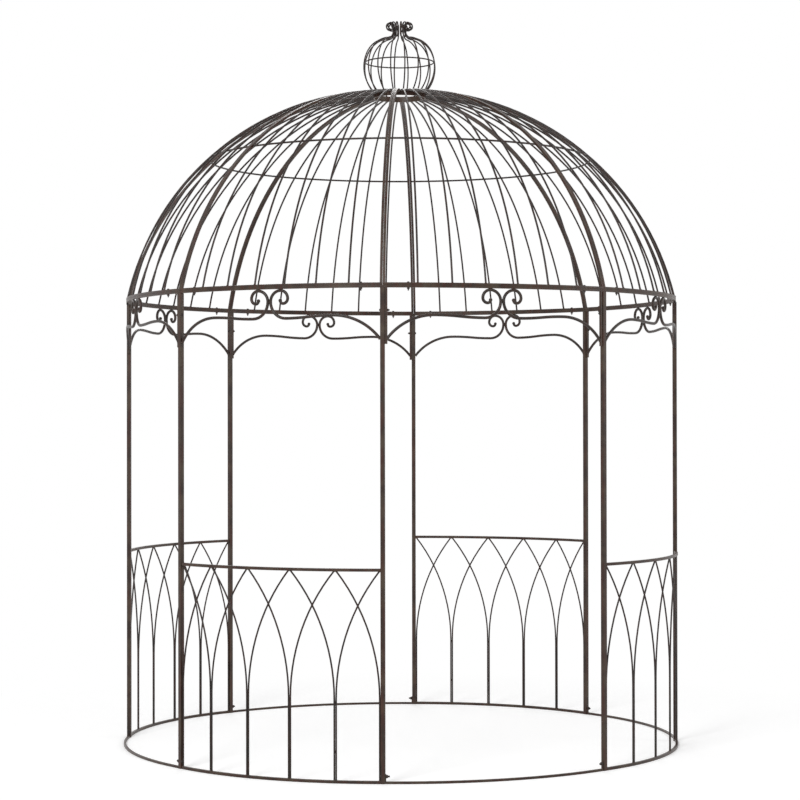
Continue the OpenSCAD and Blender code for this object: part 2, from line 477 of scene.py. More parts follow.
@dataclass(frozen=True)
class StudioFloor:
    """Matt white studio paper, lit from behind, which ends in plain white away from the pavilion.

    Args:
        name: The material's name.
        paper: Colour of the paper.
        glow: Light that the paper gives by itself.
        fade_from: Distance from the middle at which it starts to turn plain white.
        fade_to: Distance at which it is plain white.
    """

    name: str = "studio_paper"
    paper: str = "#f6f6f6"
    glow: float = 0.26
    fade_from: float = 1.4
    fade_to: float = 2.6

    def build(self) -> bpy.types.Material:
        """Makes the material.

        Returns:
            The new material.
        """
        material = bpy.data.materials.new(self.name)
        material.use_nodes = True
        tree = material.node_tree
        tree.nodes.clear()
        paper = add_node(
            tree,
            "ShaderNodeBsdfPrincipled",
            {
                "Base Color": linear(self.paper), "Roughness": 0.9, "Specular IOR Level": 0.1,
                "Emission Color": (1, 1, 1, 1), "Emission Strength": self.glow,
            },
        )
        place = add_node(tree, "ShaderNodeTexCoord").outputs["Object"]
        away = add_node(tree, "ShaderNodeVectorMath", {0: place}, operation="LENGTH")
        fade = add_ramp(tree, away.outputs["Value"], self.fade_from, self.fade_to)
        white = add_node(tree, "ShaderNodeEmission", {"Color": (1, 1, 1, 1), "Strength": 1})
        inputs = {0: fade, 1: paper.outputs[0], 2: white.outputs[0]}
        surface = add_node(tree, "ShaderNodeMixShader", inputs).outputs[0]
        add_node(tree, "ShaderNodeOutputMaterial", {"Surface": surface})
        return material


@dataclass(frozen=True)
class Finishes:
    """The materials of the whole pavilion."""

    square: bpy.types.Material
    rods: bpy.types.Material
    scrolls: bpy.types.Material
    bolts: bpy.types.Material
    welds: bpy.types.Material

    @classmethod
    def build(cls) -> "Finishes":
        """Makes every material once.

        Returns:
            The set of materials.
        """
        return cls(
            square=BronzeCoat("bronze_coat_on_square_bar").build(),
            rods=BronzeCoat(
                "bronze_coat_on_rod", coat="#1b1512", faded="#28201b", worn="#403730", tinge=0.3
            ).build(),
            scrolls=BronzeCoat(
                "bronze_coat_on_scroll", coat="#231c18", faded="#312923", worn="#4a4038", tinge=0.3
            ).build(),
            bolts=BronzeCoat(
                "dark_bolt_coat", coat="#181513", faded="#24201d", worn="#4d4742",
                patch=12 * MM, gloss=0.36, tinge=0.45,
            ).build(),
            welds=BronzeCoat(
                "coat_over_weld", coat="#261e1a", faded="#30271f", rusty="#3c2116",
                patch=14 * MM, gloss=0.5, tinge=0.75,
            ).build(),
        )


# ---------------------------------------------------------------- shapes


def soften(bm: bmesh.types.BMesh, width: float, segments: int = 2) -> None:
    """Rounds every sharp edge.

    Args:
        bm: The mesh.
        width: Width of the rounding.
        segments: Facets across it.
    """
    sharp = [e for e in bm.edges if e.is_manifold and e.calc_face_angle(0) > math.radians(50)]
    bmesh.ops.bevel(
        bm, geom=sharp, offset=width, affect="EDGES", segments=segments, profile=0.5,
        material=-1, clamp_overlap=True,
    )


def cap(bm: bmesh.types.BMesh) -> None:
    """Closes the open ends and turns every face outwards.

    Args:
        bm: The mesh.
    """
    bmesh.ops.holes_fill(bm, edges=[e for e in bm.edges if e.is_boundary], sides=0)
    bmesh.ops.recalc_face_normals(bm, faces=bm.faces)


def cut(bm: bmesh.types.BMesh, point: Vector, outward: Vector) -> None:
    """Cuts away what lies past a plane.

    Args:
        bm: The mesh.
        point: A point of the plane.
        outward: The side that goes.
    """
    bmesh.ops.bisect_plane(
        bm, geom=[*bm.verts, *bm.edges, *bm.faces], plane_co=point, plane_no=outward,
        clear_outer=True,
    )


class Bar:
    """A bar drawn in the XZ plane by walking: straight on, or round a bend.

    Args:
        section: The bar's section.
        size: Its diameter, or the side of a square one.
        start: Where the walk starts.
        heading: Direction of the first step, as an angle from +X towards +Z.
    """

    def __init__(self, section: Section, size: float, start: Vector, heading: float) -> None:
        self.bm = bmesh.new()
        self.section = section
        self.place = start.copy()
        self.heading = heading
        square = section is Section.SQUARE
        across = size / math.sqrt(2) if square else size / 2
        # The ring is drawn round +Z and turned to face along the heading
        turn = Matrix.Rotation(QUARTER - heading, 4, "Y")
        spin = Matrix.Rotation(EIGHTH if square else 0, 4, "Z")
        ring = bmesh.ops.create_circle(
            self.bm, segments=section.value, radius=across,
            matrix=Matrix.Translation(start) @ turn @ spin,
        )["verts"]
        self.front = list({e for v in ring for e in v.link_edges})

    @property
    def along(self) -> Vector:
        """The heading as a direction."""
        return Vector((math.cos(self.heading), 0, math.sin(self.heading)))

    def straight(self, length: float, steps: int = 1) -> "Bar":
        """Walks straight on.

        Args:
            length: Distance to walk.
            steps: Number of rings to lay down.

        Returns:
            The bar itself.
        """
        for _ in range(steps):
            made = bmesh.ops.extrude_edge_only(self.bm, edges=self.front)["geom"]
            rim = {v for v in made if isinstance(v, bmesh.types.BMVert)}
            step = self.along * (length / steps)
            bmesh.ops.translate(self.bm, verts=list(rim), vec=step)
            self.front = [
                e for e in made if isinstance(e, bmesh.types.BMEdge) and set(e.verts) <= rim
            ]
            self.place = self.place + step
        return self

    def bend(self, radius: float, turn: float, facet: float = math.radians(10)) -> "Bar":
        """Walks round a bend.

        Args:
            radius: Radius of the bar's middle line.
            turn: Angle of the bend, above 0 to the left of the walk and below 0 to the right.
            facet: Greatest angle between two rings.

        Returns:
            The bar itself.
        """
        side = math.copysign(QUARTER, turn)
        inward = Vector((math.cos(self.heading + side), 0, math.sin(self.heading + side)))
        centre = self.place + inward * radius
        made = bmesh.ops.spin(
            self.bm, geom=self.front, cent=centre, axis=(0, -1, 0), angle=turn,
            steps=max(2, math.ceil(abs(turn) / facet)), use_duplicate=False,
        )["geom_last"]
        self.front = [e for e in made if isinstance(e, bmesh.types.BMEdge)]
        self.heading += turn
        self.place = centre - Matrix.Rotation(-turn, 3, "Y") @ (inward * radius)
        return self

    def bulb(self, radius: float) -> "Bar":
        """Ends the bar in a round bead, as a forged eye has.

        Args:
            radius: Radius of the bead.

        Returns:
            The bar itself.
        """
        bmesh.ops.create_icosphere(
            self.bm, subdivisions=2, radius=radius, matrix=Matrix.Translation(self.place)
        )
        return self

    def close(self) -> bmesh.types.BMesh:
        """Closes both ends.

        Returns:
            The finished mesh.
        """
        cap(self.bm)
        return self.bm


def bent_rail(arc: Arc, side: float, z: float, past: float) -> bmesh.types.BMesh:
    """A square bar bent over a bay, its ends cut beside the posts' middle planes.

    Args:
        arc: The bar's line.
        side: Side of the bar.
        z: Height of its underside.
        past: Distance that each end runs past the middle plane of its post, or stops short of it.

    Returns:
        The bar's mesh, facing -Y.
    """
    bm = bmesh.new()
    spare = arc.turn + 2 * PLAN.post / arc.radius
    place = Matrix.Translation(arc.point(-spare, z + side / 2)) @ Matrix.Rotation(-spare, 4, "Z")
    upright = Matrix.Rotation(QUARTER, 4, "Y") @ Matrix.Rotation(EIGHTH, 4, "Z")
    ring = bmesh.ops.create_circle(
        bm, segments=4, radius=side / math.sqrt(2), matrix=place @ upright
    )["verts"]
    bmesh.ops.spin(
        bm, geom=list({e for v in ring for e in v.link_edges}), cent=(0, -arc.offset, 0),
        axis=(0, 0, 1), angle=2 * spare, steps=36, use_duplicate=False,
    )
    for sign in (-1, 1):
        across = Vector((sign * math.cos(arc.half), math.sin(arc.half), 0))
        cut(bm, across * past, across)
    cap(bm)
    soften(bm, side * 0.12)
    return bm


def box_bar(size: Vector, middle: Vector, round_by: float) -> bmesh.types.BMesh:
    """A straight square bar or plate with softened edges.

    Args:
        size: Its three sizes.
        middle: Its middle.
        round_by: Width of the softened edges.

    Returns:
        The bar's mesh.
    """
    bm = bmesh.new()
    grow = Matrix.Diagonal((*size, 1))
    bmesh.ops.create_cube(bm, size=1, matrix=Matrix.Translation(middle) @ grow)
    soften(bm, round_by, 3)
    return bm


def beside_post(half: float, sign: int, size: Vector, low: float) -> bmesh.types.BMesh:
    """A plate or leg that stands against a post's side, at one end of a bay.

    Args:
        half: Half of the bay's angle.
        sign: -1 for the left end and 1 for the right one.
        size: The plate's thickness, width and height.
        low: Height of its lower end.

    Returns:
        The plate's mesh, facing -Y.
    """
    x = sign * (-PLAN.post / 2 - size.x / 2)
    bm = box_bar(size, Vector((x, -PLAN.circle, low + size.z / 2)), 0.8 * MM)
    bm.transform(Matrix.Rotation(sign * half, 4, "Z"))
    return bm


def weld_collar(place: Matrix, radius: float, spread: float = 1.5 * MM) -> bmesh.types.BMesh:
    """The bead of weld round the foot of a round bar: a low flared collar, lumpy by its facets.

    Args:
        place: The foot, with +Z along the bar.
        radius: Radius of the bar.
        spread: How far the bead spreads past it.

    Returns:
        The bead's mesh.
    """
    bm = bmesh.new()
    bmesh.ops.create_cone(
        bm, cap_ends=True, segments=9, radius1=radius + spread, radius2=radius * 0.9,
        depth=2 * spread, matrix=place @ Matrix.Translation((0, 0, spread * 0.6)),
    )
    return bm


def weld_bead(middle: Vector, size: Vector, turn: Matrix | None = None) -> bmesh.types.BMesh:
    """A short bead of weld between two bars that touch.

    Args:
        middle: The bead's middle.
        size: Its three sizes.
        turn: Its turn, if it isn't upright.

    Returns:
        The bead's mesh.
    """
    bm = bmesh.new()
    place = Matrix.Translation(middle) @ (turn or Matrix.Identity(4)) @ Matrix.Diagonal((*size, 1))
    bmesh.ops.create_icosphere(bm, subdivisions=1, radius=0.5, matrix=place)
    return bm


@dataclass(frozen=True)
class Bolt:
    """A dome-headed bolt with its nut, true to scale.

    Args:
        shank: Diameter of the thread.
        head: Diameter of the dome head.
        head_h: Height of the dome.
        nut: Width of the nut across its flats.
        nut_h: Height of the nut.
        spare: Length of thread that shows past the nut.
    """

    shank: float = 6 * MM
    head: float = 12 * MM
    head_h: float = 4.2 * MM
    nut: float = 10 * MM
    nut_h: float = 5 * MM
    spare: float = 5 * MM

    def build(self, place: Matrix, grip: float) -> bmesh.types.BMesh:
        """Makes the bolt.

        Args:
            place: The seat of the head, with +Z out of the head.
            grip: Thickness of what it holds.

        Returns:
            The bolt's mesh.
        """
        bm = bmesh.new()
        self.dome(bm)
        nut_low = -grip - self.nut_h
        self.rod(bm, nut_low, -grip, self.nut / math.sqrt(3), 6)
        soften(bm, 0.5 * MM)
        self.rod(bm, -grip + 0.5 * MM, 0, self.shank / 2, 12)
        self.thread(bm, nut_low - self.spare, nut_low)
        self.rod(bm, -1 * MM, 0.2 * MM, self.head * 0.56, 18)
        bmesh.ops.transform(bm, matrix=place, verts=bm.verts)
        return bm

    def dome(self, bm: bmesh.types.BMesh) -> None:
        """Adds the dome head, a flattened half ball on its seat.

        Args:
            bm: The mesh to add to.
        """
        squash = Matrix.Diagonal((1, 1, 2 * self.head_h / self.head, 1))
        ball = bmesh.ops.create_uvsphere(
            bm, u_segments=18, v_segments=12, radius=self.head / 2, matrix=squash
        )["verts"]
        bmesh.ops.delete(bm, geom=[v for v in ball if v.co.z < -1e-6], context="VERTS")
        cap(bm)

    def thread(self, bm: bmesh.types.BMesh, low: float, high: float) -> None:
        """Adds the end of the thread as a stack of ridges.

        Args:
            bm: The mesh to add to.
            low: Lower end.
            high: Upper end.
        """
        pitch = 1.25 * MM
        crest, root = self.shank / 2, self.shank * 0.42
        for k in range(int((high - low) / pitch)):
            for first, last, drop in ((root, crest, 0.75), (crest, root, 0.25)):
                bmesh.ops.create_cone(
                    bm, cap_ends=True, segments=12, radius1=first, radius2=last, depth=pitch / 2,
                    matrix=Matrix.Translation((0, 0, high - (k + drop) * pitch)),
                )

    @staticmethod
    def rod(bm: bmesh.types.BMesh, low: float, high: float, radius: float, sides: int) -> None:
        """Adds a straight round or six-sided piece.

        Args:
            bm: The mesh to add to.
            low: Lower end.
            high: Upper end.
            radius: Its radius, over the corners.
            sides: Its number of sides.
        """
        bmesh.ops.create_cone(
            bm, cap_ends=True, segments=sides, radius1=radius, radius2=radius, depth=high - low,
            matrix=Matrix.Translation((0, 0, (low + high) / 2)),
        )


@dataclass
class Layer:
    """Meshes of one finish that go into one piece."""

    material: bpy.types.Material
    meshes: list[bmesh.types.BMesh]


def make_piece(name: str, layers: Iterable[Layer], turn: Matrix) -> bpy.types.Object:
    """Joins meshes into one piece, turned to its place, with its object at the origin.

    Args:
        name: The piece's name.
        layers: The meshes, by finish.
        turn: The turn that carries them to their place.

    Returns:
        The new object, which rides on the pavilion.
    """
    joined = bmesh.new()
    mesh = bpy.data.meshes.new(name)
    for index, layer in enumerate(layers):
        mesh.materials.append(layer.material)
        for bm in layer.meshes:
            for face in bm.faces:
                face.material_index = index
                face.smooth = True
            part = bpy.data.meshes.new("part")
            bm.to_mesh(part)
            bm.free()
            joined.from_mesh(part)
            bpy.data.meshes.remove(part)
    joined.transform(turn)
    joined.to_mesh(mesh)
    joined.free()
    mesh.set_sharp_from_angle(angle=math.radians(40))
    piece = bpy.data.objects.new(name, mesh)
    bpy.context.scene.collection.objects.link(piece)
    weights = piece.modifiers.new("even_shading", "WEIGHTED_NORMAL")
    weights.keep_sharp = True
    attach(piece, "root")
    log.info("%s: %d faces", name, len(mesh.polygons))
    return piece


# ---------------------------------------------------------------- sub-assemblies


@dataclass
class Posts:
    """The eight square posts."""

    round_by: float = 1.6 * MM

    def build(self, finishes: Finishes) -> None:
        """Makes the posts in place of the plain ones.

        Args:
            finishes: The materials.
        """
        for i in range(8):
            node = f"post_{i + 1}"
            low, high = low_z(node), high_z(node)
            size = Vector((PLAN.post, PLAN.post, high - low))
            bar = box_bar(size, Vector((0, -PLAN.circle, (low + high) / 2)), self.round_by)
            turn = Matrix.Rotation(EIGHTH * i + PLAN.half(i), 4, "Z")
            post = make_piece(f"{node}_bar", [Layer(finishes.square, [bar])], turn)
            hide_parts(node)


@dataclass
class Railings:
    """The base rails, handrails and crossed rods of the four railed bays.

    Args:
        cells: Cells between two posts.
        rod: Diameter of a rod.
        part_z: Height at which the two rods of a pair part.
        pair_gap: Gap between the rods of a pair.
        post_gap: Gap between a rod and its post.
        bite: How far a rod's end goes into the rail.
    """

    cells: int = 5
    rod: float = 7 * MM
    part_z: float = 325 * MM
    pair_gap: float = 0.5 * MM
    post_gap: float = 0.3 * MM
    bite: float = 2 * MM

    def build(self, finishes: Finishes) -> None:
        """Makes the railings and base rails in place of the plain ones.

        Args:
            finishes: The materials.
        """
        for bay in (1, 3, 5, 7):
            arc = PLAN.railing(bay)
            rail_node, base_node = f"railing_{BAY_NAMES[bay]}", f"base_rail_{BAY_NAMES[bay]}"
            top = high_z(rail_node)
            base_top = high_z(base_node)
            rods, welds = self.lattice(arc, base_top, top - PLAN.rail)
            handrail = bent_rail(arc, PLAN.rail, top - PLAN.rail, -PLAN.post / 2)
            base = bent_rail(arc, PLAN.rail, low_z(base_node), -PLAN.post / 2)
            welds += self.end_welds(arc, (top - PLAN.rail, top, base_top))
            railing = make_piece(
                f"{rail_node}_welded",
                [Layer(finishes.square, [handrail]), Layer(finishes.rods, rods),
                 Layer(finishes.welds, welds)],
                bay_turn(bay),
            )
            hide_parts(rail_node)
            base_rail = make_piece(
                f"{base_node}_bar", [Layer(finishes.square, [base])], bay_turn(bay)
            )
            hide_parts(base_node)

    def lattice(self, arc: Arc, low: float, high: float) -> tuple[list, list]:
        """The rods of one bay and their welds.

        Args:
            arc: The rails' line.
            low: Height of the base rail's top.
            high: Height of the handrail's underside.

        Returns:
            The rods' meshes and the welds' meshes.
        """
        rods, welds = [], []
        by_post = PLAN.post / 2 + self.rod / 2 + self.post_gap
        by_pair = self.rod / 2 + self.pair_gap / 2
        for k in range(self.cells):
            start = arc.point(arc.turn * (2 * k / self.cells - 1))
            end = arc.point(arc.turn * (2 * (k + 1) / self.cells - 1))
            way = end - start
            left = by_post if k == 0 else by_pair
            right = way.length - (by_post if k == self.cells - 1 else by_pair)
            turn = Matrix.Rotation(math.atan2(way.y, way.x), 4, "Z")
            place = Matrix.Translation(start) @ turn
            cell = [self.rod_line(left, right, low, high), self.rod_line(right, left, low, high)]
            marks = [
                weld_collar(Matrix.Translation((x, 0, low)), self.rod / 2) for x in (left, right)
            ]
            down = Matrix.Rotation(math.pi, 4, "X")
            marks += [
                weld_collar(Matrix.Translation((x, 0, high)) @ down, self.rod / 2, 1.2 * MM)
                for x in (left, right)
            ]
            marks.append(self.crossing(left, right, high))
            if k:
                for z in (low + 0.35 * (self.part_z - low), self.part_z - 12 * MM):
                    size = Vector((2.4 * MM, 5 * MM, 11 * MM))
                    marks.append(weld_bead(Vector((0, 0, z)), size))
            for bm in (*cell, *marks):
                bm.transform(place)
            rods += cell
            welds += marks
        return rods, welds

    def radius(self, reach: float, high: float) -> float:
        """Radius of a rod's bend.

        Args:
            reach: How far it leans over.
            high: Height of the handrail's underside.

        Returns:
            The radius.
        """
        climb = high + self.bite - self.part_z
        return (reach**2 + climb**2) / (2 * reach)

    def rod_line(self, start: float, end: float, low: float, high: float) -> bmesh.types.BMesh:
        """One rod: upright from the base rail, then leaning over to the handrail.

        Args:
            start: Its foot, along the cell.
            end: Its top, along the cell.
            low: Height of its foot.
            high: Height of the handrail's underside.

        Returns:
            The rod's mesh.
        """
        reach = abs(end - start)
        bend = self.radius(reach, high)
        turn = math.asin((high + self.bite - self.part_z) / bend)
        sign = -1 if end > start else 1
        bar = Bar(Section.THIN_ROUND, self.rod, Vector((start, 0, low - 1 * MM)), QUARTER)
        bar.straight(self.part_z - low + 1 * MM, 2)
        return bar.bend(bend, sign * turn, math.radians(3)).close()

    def crossing(self, left: float, right: float, high: float) -> bmesh.types.BMesh:
        """The weld where the two rods of a cell cross.

        Args:
            left: Foot of the left rod.
            right: Foot of the right rod.
            high: Height of the handrail's underside.

        Returns:
            The bead's mesh.
        """
        bend = self.radius(right - left, high)
        half = (right - left) / 2
        z = self.part_z + math.sqrt(bend**2 - (bend - half) ** 2)
        return weld_bead(Vector(((left + right) / 2, 0, z)), Vector((7.5, 7.6, 9)) * MM)

    @staticmethod
    def end_welds(arc: Arc, heights: Iterable[float]) -> list[bmesh.types.BMesh]:
        """The welds between the rails' ends and their posts.

        Args:
            arc: The rails' line.
            heights: Heights of the rail faces that have a weld.

        Returns:
            The beads' meshes.
        """
        beads = []
        for sign in (-1, 1):
            for z in heights:
                middle = Vector((-sign * PLAN.post / 2, -PLAN.circle, z))
                bead = weld_bead(middle, Vector((3 * MM, PLAN.rail * 0.9, 3 * MM)))
                bead.transform(Matrix.Rotation(sign * arc.half, 4, "Z"))
                beads.append(bead)
        return beads


@dataclass
class Sills:
    """The low bars across the four doorways, each bolted to its posts by two tabs.

    Args:
        tab: Thickness of a tab.
        bolt_z: Height of the bolts.
    """

    tab: float = 3 * MM
    bolt_z: float = 29 * MM

    def build(self, finishes: Finishes) -> None:
        """Makes the sills in place of the plain ones, with their bolts.

        Args:
            finishes: The materials.
        """
        bolt = Bolt(shank=8 * MM, head=14 * MM, nut=13 * MM, nut_h=6.5 * MM, spare=8 * MM)
        for bay in (0, 2, 4, 6):
            node = f"sill_{BAY_NAMES[bay]}"
            arc = PLAN.sill(bay)
            high = high_z(node)
            meshes = [bent_rail(arc, PLAN.bar, low_z(node), -PLAN.post / 2)]
            bolts = []
            for sign in (-1, 1):
                size = Vector((self.tab, PLAN.bar, high))
                meshes.append(beside_post(arc.half, sign, size, 0))
                seat = Vector((sign * PLAN.post / 2, -PLAN.circle, self.bolt_z))
                face = Matrix.Rotation(sign * QUARTER, 4, "Y")
                place = Matrix.Rotation(sign * arc.half, 4, "Z") @ Matrix.Translation(seat) @ face
                bolts.append(bolt.build(place, self.tab + PLAN.post))
            sill = make_piece(
                f"{node}_bolted",
                [Layer(finishes.square, meshes), Layer(finishes.bolts, bolts)], bay_turn(bay),
            )
            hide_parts(node)


@dataclass
class Eaves:
    """The eaves rails with their scrolls, over railed and open bays.

    Args:
        scroll: Diameter of the scroll bar.
        foot_drop: Drop of the scroll's foot below the rail.
        run_drop: Drop of its flat run below the rail.
        run_dip: Sag of the run towards the curl.
        arch_reach: Reach of the arch from its foot to its top.
        curl: Radius of the curl's lower quarter.
        turns: Radii of the curl's last three quarters.
        gap: Clearance at the foot and between the two curls.
        leg_bolt_drop: Drop of a leg's bolt below the rail's top.
        railed_bolt_inset: Distance of a railed bay's eaves bolts from the posts, along the rail.
        open_bolt_inset: That distance in an open bay.
    """

    scroll: float = 12 * MM
    foot_drop: float = 198 * MM
    run_drop: float = 105 * MM
    run_dip: float = 10 * MM
    arch_reach: float = 186 * MM
    curl: float = 66 * MM
    turns: tuple[float, float, float] = (31 * MM, 20 * MM, 12 * MM)
    gap: float = 0.3 * MM
    leg_bolt_drop: float = 97 * MM
    railed_bolt_inset: float = 84 * MM
    open_bolt_inset: float = 100 * MM

    def build(self, finishes: Finishes) -> None:
        """Makes the friezes and headers in place of the plain ones, with their bolts.

        Args:
            finishes: The materials.
        """
        for bay in range(8):
            railed = PLAN.railed(bay)
            node = f"{'frieze' if railed else 'header'}_{BAY_NAMES[bay]}"
            arc = PLAN.eaves(bay)
            top = high_z(node)
            rail_z = top - PLAN.bar
            past = PLAN.post / 2 if railed else -PLAN.post / 2
            inset = PLAN.post / 2 + (self.gap if railed else PLAN.bar - 2 * MM)
            squares = [bent_rail(arc, PLAN.bar, rail_z, past)]
            bolt_inset = self.railed_bolt_inset if railed else self.open_bolt_inset
            bolts = [self.rail_bolt(arc, sign, top, bolt_inset) for sign in (-1, 1)]
            if not railed:
                for sign in (-1, 1):
                    size = Vector((PLAN.bar, PLAN.bar, top - low_z(node)))
                    squares.append(beside_post(arc.half, sign, size, low_z(node)))
                    bolts.append(self.leg_bolt(arc, sign, top))
            scrolls, welds = [], []
            for mirrored in (False, True):
                bar, beads = self.scroll_bar(arc, rail_z, inset)
                for bm in (bar, *beads):
                    self.lay(bm, arc, mirrored)
                scrolls.append(bar)
                welds += beads
            welds.append(self.curl_weld(arc, rail_z))
            piece = make_piece(
                f"{node}_welded",
                [Layer(finishes.square, squares), Layer(finishes.scrolls, scrolls),
                 Layer(finishes.welds, welds), Layer(finishes.bolts, bolts)],
                bay_turn(bay),
            )
            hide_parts(node)

    def scroll_bar(self, arc: Arc, rail_z: float, inset: float) -> tuple[bmesh.types.BMesh, list]:
        """The left scroll on the unrolled face, from its foot by the post to its eye.

        Args:
            arc: The eaves' line.
            rail_z: Height of the rail's underside.
            inset: Distance of the foot from the post's middle.

        Returns:
            The scroll's mesh and its welds' meshes.
        """
        foot = Vector((inset - arc.length, 0, rail_z - self.foot_drop))
        climb = self.foot_drop - self.run_drop
        arch = (self.arch_reach**2 + climb**2) / (2 * climb)
        lean = math.asin(self.arch_reach / arch)
        low = rail_z - self.run_drop - self.run_dip
        touch_x = -self.scroll / 2 - self.gap / 3
        side_z = low + self.curl
        top_z = rail_z - self.scroll / 2 + self.gap
        shoulder = top_z - side_z
        run = touch_x - self.curl - (foot.x + self.arch_reach)
        # The run sags by a shallow bend to the right and one back to the left
        sag = math.atan2(2 * self.run_dip, run)
        sag_r = run / (2 * math.sin(sag))
        bar = Bar(Section.ROUND, self.scroll, foot, lean)
        bar.bend(arch, -lean, math.radians(3))
        bar.bend(sag_r, -sag, math.radians(1.5)).bend(sag_r, sag, math.radians(1.5))
        bar.bend(self.curl, QUARTER).bend(shoulder, QUARTER)
        for radius in self.turns:
            bar.bend(radius, QUARTER)
        bar.bulb(self.scroll * 0.62)
        flow = Matrix.Rotation(QUARTER - lean, 4, "Y")
        welds = [
            weld_collar(Matrix.Translation(foot) @ flow, self.scroll / 2, 1.6 * MM),
            weld_bead(Vector((touch_x - shoulder, 0, rail_z)), Vector((18, 8, 3.4)) * MM),
        ]
        return bar.close(), welds

    def curl_weld(self, arc: Arc, rail_z: float) -> bmesh.types.BMesh:
        """The weld where the two scrolls of a bay touch back to back.

        Args:
            arc: The eaves' line.
            rail_z: Height of the rail's underside.

        Returns:
            The bead's mesh.
        """
        z = rail_z - self.run_drop - self.run_dip + self.curl
        bead = weld_bead(Vector((0, 0, z)), Vector((3.4, 7, 16)) * MM)
        self.lay(bead, arc, False)
        return bead

    @staticmethod
    def lay(bm: bmesh.types.BMesh, arc: Arc, mirrored: bool) -> None:
        """Lays a mesh of the unrolled face on the bent one.

        Args:
            bm: The mesh.
            arc: The eaves' line.
            mirrored: Whether it goes to the bay's other half.
        """
        for vert in bm.verts:
            spot = arc.wrap(vert.co)
            vert.co = Vector((-spot.x, spot.y, spot.z)) if mirrored else spot
        if mirrored:
            bmesh.ops.reverse_faces(bm, faces=bm.faces)

    @staticmethod
    def rail_bolt(arc: Arc, sign: int, joint_z: float, inset: float) -> bmesh.types.BMesh:
        """The upright bolt that holds the dome's rail on the eaves rail.

        Args:
            arc: The eaves' line.
            sign: -1 for the left bolt and 1 for the right one.
            joint_z: Height of the joint between the two rails.
            inset: Distance from the post, along the rail.

        Returns:
            The bolt's mesh.
        """
        turn = sign * (arc.length - inset) / arc.radius
        seat = arc.point(turn, joint_z + PLAN.bar)
        bolt = Bolt(head=11 * MM, head_h=4 * MM, nut=10 * MM, nut_h=5.5 * MM, spare=7 * MM)
        return bolt.build(Matrix.Translation(seat), 2 * PLAN.bar)

    def leg_bolt(self, arc: Arc, sign: int, top: float) -> bmesh.types.BMesh:
        """The level bolt through a header's leg and its post.

        Args:
            arc: The eaves' line.
            sign: -1 for the left leg and 1 for the right one.
            top: Height of the header's top.

        Returns:
            The bolt's mesh.
        """
        seat = Vector((sign * PLAN.post / 2, -PLAN.circle, top - self.leg_bolt_drop))
        face = Matrix.Rotation(sign * QUARTER, 4, "Y")
        place = Matrix.Rotation(sign * arc.half, 4, "Z") @ Matrix.Translation(seat) @ face
        return Bolt(head=11 * MM, spare=4 * MM).build(place, PLAN.post + PLAN.bar)


@dataclass(frozen=True)
class RibLine:
    """The line of the ribs of the dome: a circle through the foot, the ring and the crown.

    Args:
        foot: The foot, as a distance from the axis and a height.
        ring: The place at the middle ring.
        crown: The end at the crown.
    """

    foot: Vector
    ring: Vector
    crown: Vector

    @property
    def centre(self) -> Vector:
        """The circle's centre."""
        p, q, s = self.foot, self.ring, self.crown
        d = 2 * (p.x * (q.y - s.y) + q.x * (s.y - p.y) + s.x * (p.y - q.y))
        pp, qq, ss = p.length_squared, q.length_squared, s.length_squared
        return Vector((
            (pp * (q.y - s.y) + qq * (s.y - p.y) + ss * (p.y - q.y)) / d,
            (pp * (s.x - q.x) + qq * (p.x - s.x) + ss * (q.x - p.x)) / d,
        ))

    def sweep(self, section: Section, size: float) -> bmesh.types.BMesh:
        """A bar along the line, in the plane x = 0 and on the side of -Y.

        Args:
            section: The bar's section.
            size: Its diameter, or the side of a square one.

        Returns:
            The bar's mesh.
        """
        centre = self.centre
        start, end = self.foot - centre, self.crown - centre
        turn = math.atan2(end.y, end.x) - math.atan2(start.y, start.x)
        heading = math.atan2(start.y, start.x) + QUARTER
        bar = Bar(section, size, Vector((self.foot.x, 0, self.foot.y)), heading)
        bm = bar.bend(start.length, turn, math.radians(2.5)).close()
        if section is Section.SQUARE:
            soften(bm, size * 0.12)
        bm.transform(Matrix.Rotation(-QUARTER, 4, "Z"))
        return bm


